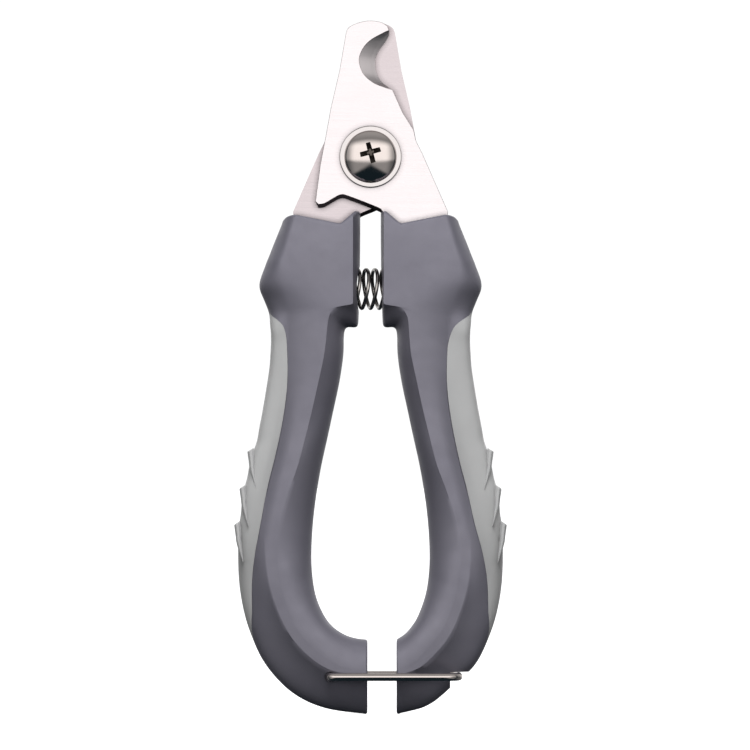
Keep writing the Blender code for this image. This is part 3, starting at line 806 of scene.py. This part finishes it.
def spring_pocket(side):
    """The pocket around the spring's boss, along x."""
    low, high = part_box("return_spring")
    radius = (high.z - low.z) / 2 / MM
    centre_z = (high.z + low.z) / 2 / MM
    floor = high.x / MM + POCKET_FLOOR_GAP
    wall, boss = radius + POCKET_GAP, radius - BOSS_GAP
    profile = [
        (0.0, POCKET_START), (wall, POCKET_START), (wall, floor),
        (boss, floor), (boss, floor - BOSS_LENGTH), (0.0, floor - BOSS_LENGTH),
    ]
    shell = turned_shell(profile, HOLE_SIDES)
    bmesh.ops.rotate(shell, matrix=Matrix.Rotation(math.pi / 2, 3, "Y"), verts=shell.verts)
    bmesh.ops.translate(shell, vec=(0, 0, centre_z), verts=shell.verts)
    return framed("pocket", shell, half_matrix(side))


def bail_cutters(side):
    """The left handle's two blind hinge holes, or the seat behind the right handle's lip."""
    low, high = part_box("lock_bail")
    radius = (high.z - low.z) / 2 / MM
    level = (high.z + low.z) / 2 / MM
    matrix = half_matrix(side)
    if side > 0:
        reach = high.x / MM - 2 * radius
        seat = [(reach + dx, level + dz) for dx, dz in SEAT_OUTLINE]
        return [framed("bail_seat", plate_shell(seat, seat, -CUTTER_REACH, CUTTER_REACH), matrix)]
    hinge_x = -(low.x / MM + radius)
    holes = []
    for start in (-CUTTER_REACH, CUTTER_REACH):
        path = [(hinge_x, start, level), (hinge_x, start * (1 - HINGE_DEPTH), level)]
        holes.append(framed("hinge_hole", tube_shell(path, radius + HINGE_GAP, 40), matrix))
    return holes


def build_handles(core, rubber, painted_highlight_fins_rubber):
    for side, word, end in ((-1, "left", LEFT_END), (1, "right", RIGHT_END)):
        matrix = half_matrix(side)
        body = word + "_half"
        shape = mesh_piece(word + "_handle_core", handle_shell(side, end), body, matrix, core,
                           word + "_handle")
        cut_now(shape, [spring_pocket(side), *bail_cutters(side)])
        mesh_piece(word + "_grip_pad", grip_shell(side, end), body, matrix, rubber,
                   word + "_grip")
        for i, tip in enumerate(FIN_TIPS):
            fin_name = f"{word}_grip_fin_{i + 1}"
            # The fins' rubber is the pad's rubber made lighter: a painted highlight where the fins catch the
            # light.
            mesh_piece(fin_name, fin_shell(tip), body, matrix, painted_highlight_fins_rubber)


# ---------------------------------------------------------------- blades

def blade_shell(tail_points, front_chamfer, back_chamfer):
    """The plate: its notch hollow-ground towards the cutting edge, its tail chamfered."""
    outer_notch = smooth_path(NOTCH_FACE, 8)
    inner_notch = smooth_path(NOTCH_EDGE, 8)
    tail = smooth_path(tail_points, 5)
    crown = smooth_path(BLADE_CROWN, 5)
    rings = []
    for i in range(HOLLOW_RINGS + 1):
        t = i / HOLLOW_RINGS if i else EDGE_CHAMFER / (BLADE_OUTER - BLADE_INNER)
        y = -(BLADE_OUTER + t * (BLADE_INNER - BLADE_OUTER))
        hollow = min(1.0, t / HOLLOW_DEPTH)
        notch = outer_notch + hollow ** HOLLOW_POWER * (inner_notch - outer_notch)
        chamfer = front_chamfer * max(0.0, 1 - t / TAIL_CHAMFER_DEPTH)
        chamfer += back_chamfer * max(0.0, 1 - (1 - t) / REAR_TAIL_CHAMFER_DEPTH)
        outline = [*notch, *BLADE_SPINE, *TANG_END, *(tail + [0, chamfer]), *BLADE_BACK, *crown]
        rings.append([(x, y, z) for x, z in outline])
        if i == 0:
            rings.insert(0, [(x, -BLADE_OUTER, z) for x, z in shrunk(outline, EDGE_CHAMFER)])
    return ring_shell(rings)


def shrunk(outline, width):
    """The outline moved inwards, square to itself."""
    points = np.array(outline)
    following = np.roll(points, -1, axis=0)
    along = following - np.roll(points, 1, axis=0)
    along /= np.linalg.norm(along, axis=1)[:, None]
    square = np.stack([-along[:, 1], along[:, 0]], axis=1)
    area = np.sum(points[:, 0] * following[:, 1] - points[:, 1] * following[:, 0])
    return points + width * np.sign(area) * square


def paint_ground_faces(piece, hollow_steel, painted_tail_shade_steel):
    """The notch's hollow grind has its own steel; the tail's downward-facing chamfer gets a near-black steel,
    a painted shade under the tail.
    """
    piece.data.materials.append(hollow_steel)
    piece.data.materials.append(painted_tail_shade_steel)
    for face in piece.data.polygons:
        x, _, z = face.center / MM
        if z > NOTCH_FOOT and 0.2 < abs(face.normal.y) < 0.999:
            face.material_index = 1
        # Painted shade: the tail's downward-facing faces go near-black.
        elif face.normal.z < -0.2 and TAIL_LEVELS[0] < z < TAIL_LEVELS[1] and x < TAIL_ROOT:
            face.material_index = 2


def build_blades(front_steel, rear_steel, hollow_steel, painted_tail_shade_steel):
    for side, name, steel, body, tail, chamfers in (
        (1, "front_blade", front_steel, "right_half", TAIL_CURVE, (TAIL_CHAMFER, 0.0)),
        (-1, "rear_blade", rear_steel, "left_half", REAR_TAIL_CURVE, (0.0, TAIL_CHAMFER)),
    ):
        matrix = half_matrix(side)
        piece = mesh_piece(name + "_ground", blade_shell(tail, *chamfers), body, matrix, steel,
                           name, BLADE_SHARP_ANGLE)
        bore = framed("bore", tube_shell([(0, -5, 0), (0, 5, 0)], BORE_RADIUS, HOLE_SIDES), matrix)
        cut_now(piece, [bore], BLADE_SHARP_ANGLE)
        paint_ground_faces(piece, hollow_steel, painted_tail_shade_steel)


# ---------------------------------------------------------------- pivot hardware

def turned_matrix(y, turn):
    """Puts a piece, built around z from height 0 upwards, around the pivot's axis from y on."""
    place = Matrix.Translation((0, y, 0))
    return place @ Matrix.Rotation(turn, 4, "X") @ Matrix.Scale(MM, 4)


def stack_matrix(node, front):
    """Stands a turned piece on the node's inner face."""
    low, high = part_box(node)
    if front:
        return turned_matrix(high.y, math.pi / 2)
    return turned_matrix(low.y, -math.pi / 2)


def washer_profile(outer, inner, thick):
    """The washer's section, its outer corners rounded and its bore's top corner broken."""
    edge = min(WASHER_ROUND, thick * 0.4)
    corner = []
    for i in range(5):
        angle = math.pi / 2 * i / 4
        corner.append((outer - edge + edge * math.cos(angle), thick - edge + edge * math.sin(angle)))
    lower = [(r, thick - h) for r, h in corner[::-1]]
    flat = outer - edge - EDGE_SUPPORT
    bore = [(inner + BORE_CHAMFER, thick), (inner, thick - BORE_CHAMFER)]
    return [(inner, 0.0), (flat, 0.0), *lower, *corner, (flat, thick), *bore]


def node_size(node):
    """The node's radius across x and its thickness, in mm."""
    low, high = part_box(node)
    return (high.x - low.x) / 2 / MM, (high.y - low.y) / MM


def washer_piece(name, node, chrome, front):
    radius, thick = node_size(node)
    shell = turned_shell(washer_profile(radius, BORE_RADIUS, thick))
    mesh_piece(name, shell, "left_half", stack_matrix(node, front), chrome, node)


def split_washer(chrome):
    """A washer with a gap, given in degrees."""
    radius, thick = node_size("spring_washer")
    profile = washer_profile(radius, BORE_RADIUS, thick)
    rings = []
    for i in range(SPLIT_STEPS + 1):
        angle = math.radians(SPLIT_GAP / 2 + (360 - SPLIT_GAP) * i / SPLIT_STEPS)
        rings.append([(r * math.cos(angle), r * math.sin(angle), h) for r, h in profile])
    matrix = stack_matrix("spring_washer", False)
    mesh_piece("split_spring_washer", ring_shell(rings), "left_half", matrix, chrome,
               "spring_washer")


def recess_arm(head_height, turn, matrix):
    """A cutter for one bar of the cross, narrower at its floor."""
    along, across = RECESS_SPAN / 2, RECESS_WIDTH / 2
    rim = [(-along, -across), (along, -across), (along, across), (-along, across)]
    top = [(x, y, head_height + 0.05) for x, y in rim]
    bottom = [(x * 0.3, y * 0.4, head_height - RECESS_DEPTH) for x, y in rim]
    shell = ring_shell([bottom, top])
    bmesh.ops.rotate(shell, matrix=Matrix.Rotation(turn, 3, "Z"), verts=shell.verts)
    bmesh.ops.translate(shell, vec=(0, RECESS_LIFT, 0), verts=shell.verts)
    return framed("recess", shell, matrix)


def screw_piece(chrome, painted_recess_shade_plate):
    """Domed head with a pressed cross recess, painted near-black inside as shade, on a plain shank."""
    low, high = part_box("pivot_screw")
    head_radius = (high.x - low.x) / 2 / MM
    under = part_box("head_washer")[0].y / MM - STACK_GAP
    head_height = under - low.y / MM
    dome_height = head_height - HEAD_RIM
    shank = high.y / MM - under
    profile = []
    for i in range(25):
        angle = math.pi / 2 * i / 24
        profile.append((head_radius * math.cos(angle), HEAD_RIM + dome_height * math.sin(angle)))
    profile += [
        (0.0, -shank), (SHANK_RADIUS - SHANK_CHAMFER, -shank), (SHANK_RADIUS, SHANK_CHAMFER - shank),
        (SHANK_RADIUS, 0.0), (head_radius - HEAD_CORNER, 0.0), (head_radius, HEAD_CORNER),
    ]
    matrix = turned_matrix(under * MM, math.pi / 2)
    piece = mesh_piece("domed_pivot_screw", turned_shell(profile), "left_half", matrix, chrome,
                       "pivot_screw")
    turns = (RECESS_TURN, RECESS_TURN + math.pi / 2)
    cut_now(piece, [recess_arm(head_height, turn, matrix) for turn in turns], 30)
    # Painted shade: the recess's faces get a rougher, near-black plate.
    piece.data.materials.append(painted_recess_shade_plate)
    for face in piece.data.polygons:
        across, up, height = matrix.inverted() @ face.center
        reach = math.hypot(across, up) / head_radius
        dome = HEAD_RIM + dome_height * math.sqrt(max(0.0, 1 - reach * reach))
        if reach < RECESS_REACH and 0 < height < dome - RECESS_SINK:
            face.material_index = 1
    soften(piece, 0.07, 45)


def nut_piece(chrome):
    """A closed hexagon nut, its corners turned down on both faces."""
    low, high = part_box("pivot_nut")
    flats = (high.z - low.z) / 2 / MM
    thick = (high.y - low.y) / MM
    corner = flats / math.cos(math.pi / 6)
    rings = []
    for height, turned in (
        (0.0, flats - 0.1), (0.12, flats + 0.1), (0.45, corner),
        (thick - 0.45, corner), (thick - 0.12, flats + 0.1), (thick, flats - 0.25),
    ):
        ring = []
        for i in range(NUT_SIDES):
            angle = 2 * math.pi * i / NUT_SIDES
            hexagon = flats / math.cos(angle % (math.pi / 3) - math.pi / 6)
            radius = min(hexagon, turned)
            ring.append((radius * math.cos(angle), radius * math.sin(angle), height))
        rings.append(ring)
    mesh_piece("closed_pivot_nut", ring_shell(rings), "left_half", stack_matrix("pivot_nut", False), chrome,
               "pivot_nut", 25)


# ---------------------------------------------------------------- spring and bail

def spring_piece(steel):
    """The coil. Its free turns lean, most at their tops, and it stretches between the two handles."""
    low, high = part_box("return_spring")
    mean = (high.z - low.z) / 2 / MM - SPRING_WIRE + SPRING_PROUD
    centre = (high.z + low.z) / 2 / MM
    reach = high.x / MM - SPRING_WIRE
    count = SPRING_TURNS * 36
    path = []
    for i in range(count + 1):
        t = i / count
        angle = 2 * math.pi * SPRING_TURNS * t
        depth = mean * math.sin(angle)
        lean = SPRING_LEAN * (1 + 0.5 * math.cos(angle)) * (1 - (2 * t - 1) ** 4)
        path.append((reach * (2 * t - 1) - lean * depth, depth, centre + mean * math.cos(angle)))
    piece = mesh_piece("coil_return_spring", tube_shell(path, SPRING_WIRE, 14), None, half_matrix(1), steel,
                       "return_spring")
    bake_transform(piece)


def bend(corner, before, after, radius, steps=10):
    """A quarter turn of the wire's path, from one direction into the next."""
    ahead, aside = radius * Vector(before), radius * Vector(after)
    centre = Vector(corner) - ahead + aside
    angles = [math.pi / 2 * i / steps for i in range(steps + 1)]
    return [centre - math.cos(angle) * aside + math.sin(angle) * ahead for angle in angles]


def bail_piece(chrome):
    """The bent wire: two hooked ends, two legs and a cross member."""
    low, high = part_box("lock_bail")
    wire = (high.z - low.z) / 2 / MM
    start = low.x / MM + wire
    reach = high.x / MM - wire
    leg = (high.y - low.y) / 2 / MM - wire
    out, back, front, rear = (1, 0, 0), (-1, 0, 0), (0, -1, 0), (0, 1, 0)
    path = [(start, -BAIL_STUB, 0)]
    path += bend((start, -leg, 0), front, out, BAIL_HOOK_RADIUS)
    path += bend((reach, -leg, 0), out, rear, BAIL_CORNER_RADIUS)
    path += bend((reach, leg, 0), rear, back, BAIL_CORNER_RADIUS)
    path += bend((start, leg, 0), back, front, BAIL_HOOK_RADIUS)
    path.append((start, BAIL_STUB, 0))
    middle = (0, (high.y + low.y) / 2, (high.z + low.z) / 2)
    matrix = Matrix.Translation(middle) @ Matrix.Scale(MM, 4)
    mesh_piece("wire_lock_bail", tube_shell(path, wire, 20), "bail", matrix, chrome,
               "lock_bail")


# ---------------------------------------------------------------- studio

def floor_paper():
    """White paper to look at, but too dim to throw light up onto the object."""
    shader = Shader("floor_paper")
    paper = shader.mixed(shader.noise(6, 2), rgb(0.93, 0.93, 0.93), rgb(0.96, 0.96, 0.96))
    shader.set(Base_Color=paper, Roughness=0.9, Emission_Color=rgb(1, 1, 1), Emission_Strength=0.75)
    dim = shader.add("ShaderNodeBsdfDiffuse")
    dim.inputs["Color"].default_value = rgb(0.02, 0.02, 0.02)
    mix = shader.seen_or_lit(dim.outputs["BSDF"], shader.surface.outputs["BSDF"])
    shader.feed(shader.tree.nodes["Material Output"].inputs["Surface"], mix)
    return shader.material


def room_light():
    """A white backdrop to the camera; to the object a soft box in front and one behind, and a dim ceiling."""
    world = bpy.data.worlds.new("studio")
    world.use_nodes = True
    world.node_tree.nodes.clear()
    sky = Wiring(world.node_tree)
    split = sky.add("ShaderNodeSeparateXYZ")
    sky.feed(split.inputs["Vector"], sky.add("ShaderNodeTexCoord").outputs["Generated"])
    x, y, z = split.outputs
    side = sky.maths("ABSOLUTE", x)
    wide = sky.maths("SUBTRACT", 1.0, sky.product(sky.ramp(side, *BOX_WIDE), 1 - BOX_SIDES))
    spread = sky.ramp(sky.total(z, sky.product(side, BOX_SPREAD)), *BOX_LOW)
    low = sky.total(sky.product(spread, BOX_FOOT), sky.product(sky.ramp(z, *BOX_MIDDLE), 1 - BOX_FOOT))
    high = sky.maths("SUBTRACT", 1.0, sky.ramp(z, *BOX_HIGH))
    box = sky.product(wide, low, high)
    front = sky.product(box, sky.ramp(y, 0.0, -0.2), FRONT_GLOW)
    back = sky.product(box, sky.ramp(y, 0.0, 0.2), BACK_GLOW)
    ceiling = sky.product(sky.ramp(z, 0.2, 1.0), TOP_GLOW)
    room = sky.add("ShaderNodeAddShader")
    sky.feed(room.inputs[0], sky.glow(rgb(1.0, 0.985, 0.98), sky.total(front, back, ceiling)))
    sky.feed(room.inputs[1], sky.glow(rgb(0.40, 0.75, 1.0), ROOM_GLOW))
    mix = sky.seen_or_lit(room.outputs["Shader"], sky.glow(rgb(1, 1, 1), BACKDROP_GLOW))
    sky.feed(sky.add("ShaderNodeOutputWorld").inputs["Surface"], mix)
    return world


def key_light(scene):
    """A large soft panel above and in front. Only the room is mirrored in the metal."""
    panel = bpy.data.lights.new("key_panel", "AREA")
    panel.shape = "RECTANGLE"
    panel.size, panel.size_y = KEY_SIZE
    panel.energy = KEY_WATTS
    lamp = bpy.data.objects.new("key_panel", panel)
    lift = math.radians(KEY_LIFT)
    lamp.location = (0.0, -KEY_REACH * math.cos(lift), KEY_REACH * math.sin(lift) - KEY_DROP)
    lamp.rotation_euler = (KEY_AIM - lamp.location).to_track_quat("-Z", "Y").to_euler()
    lamp.visible_glossy = False
    scene.collection.objects.link(lamp)


def paper_floor(scene):
    """A disc of paper just under the object."""
    shell = bmesh.new()
    bmesh.ops.create_circle(shell, cap_ends=True, radius=FLOOR_RADIUS, segments=64)
    mesh = bpy.data.meshes.new("floor")
    shell.to_mesh(mesh)
    shell.free()
    floor = bpy.data.objects.new("floor", mesh)
    floor.location = (0, 0, cad_bounds[0].z - FLOOR_GAP)
    scene.collection.objects.link(floor)
    floor.visible_glossy = False
    mesh.materials.append(floor_paper())


def front_camera(scene):
    camera_data = bpy.data.cameras.new("camera")
    camera_data.sensor_width = CAMERA_SENSOR
    camera_data.lens = CAMERA_SENSOR * CAMERA_DISTANCE / CAMERA_WIDTH
    camera_data.clip_start = 0.01
    camera = bpy.data.objects.new("camera", camera_data)
    camera.location = (CAMERA_X, MID_Y * MM - CAMERA_DISTANCE, CAMERA_Z)
    camera.rotation_euler = (math.pi / 2, 0, 0)
    scene.collection.objects.link(camera)
    scene.camera = camera


def studio():
    scene = bpy.context.scene
    scene.view_settings.view_transform = "Standard"
    paper_floor(scene)
    scene.world = room_light()
    key_light(scene)
    front_camera(scene)


# ---------------------------------------------------------------- assembly

core = core_plastic()
rubber = grip_rubber("grip_soft_rubber", 0.325)
# Lighter copy of the pad's rubber: painted highlight on the fins
painted_highlight_fins_rubber = grip_rubber("fins_painted_highlight_rubber", 0.36)
front_steel = ground_steel("front_ground_steel", (0.73, 0.68, 0.685))
rear_steel = ground_steel("rear_ground_steel", (0.55, 0.49, 0.50))
hollow_steel = ground_steel("hollow_ground_steel", (0.60, 0.56, 0.56), 0.25)
# Near-black steel: painted shade on the underside of the blades' tails
painted_tail_shade_steel = ground_steel("tail_steel_painted_shade", (0.10, 0.08, 0.08), 0.2)
chrome = bright_plate("bright_nickel_plate", (0.58, 0.52, 0.49), 0.07)
washer_chrome = bright_plate("bright_washer_plate", (0.56, 0.525, 0.515), 0.07)
spring_steel = bright_plate("drawn_spring_steel", (0.36, 0.34, 0.32), 0.14)
# Rougher near-black plate: painted shade inside the screw's recess
painted_recess_shade_plate = bright_plate("recess_plate_painted_shade", (0.10, 0.085, 0.075), 0.30)

build_handles(core, rubber, painted_highlight_fins_rubber)
build_blades(front_steel, rear_steel, hollow_steel, painted_tail_shade_steel)
screw_piece(chrome, painted_recess_shade_plate)
washer_piece("bright_head_washer", "head_washer", washer_chrome, True)
washer_piece("flat_nut_washer", "nut_washer", chrome, False)
split_washer(chrome)
nut_piece(chrome)
spring_piece(spring_steel)
bail_piece(chrome)
studio()
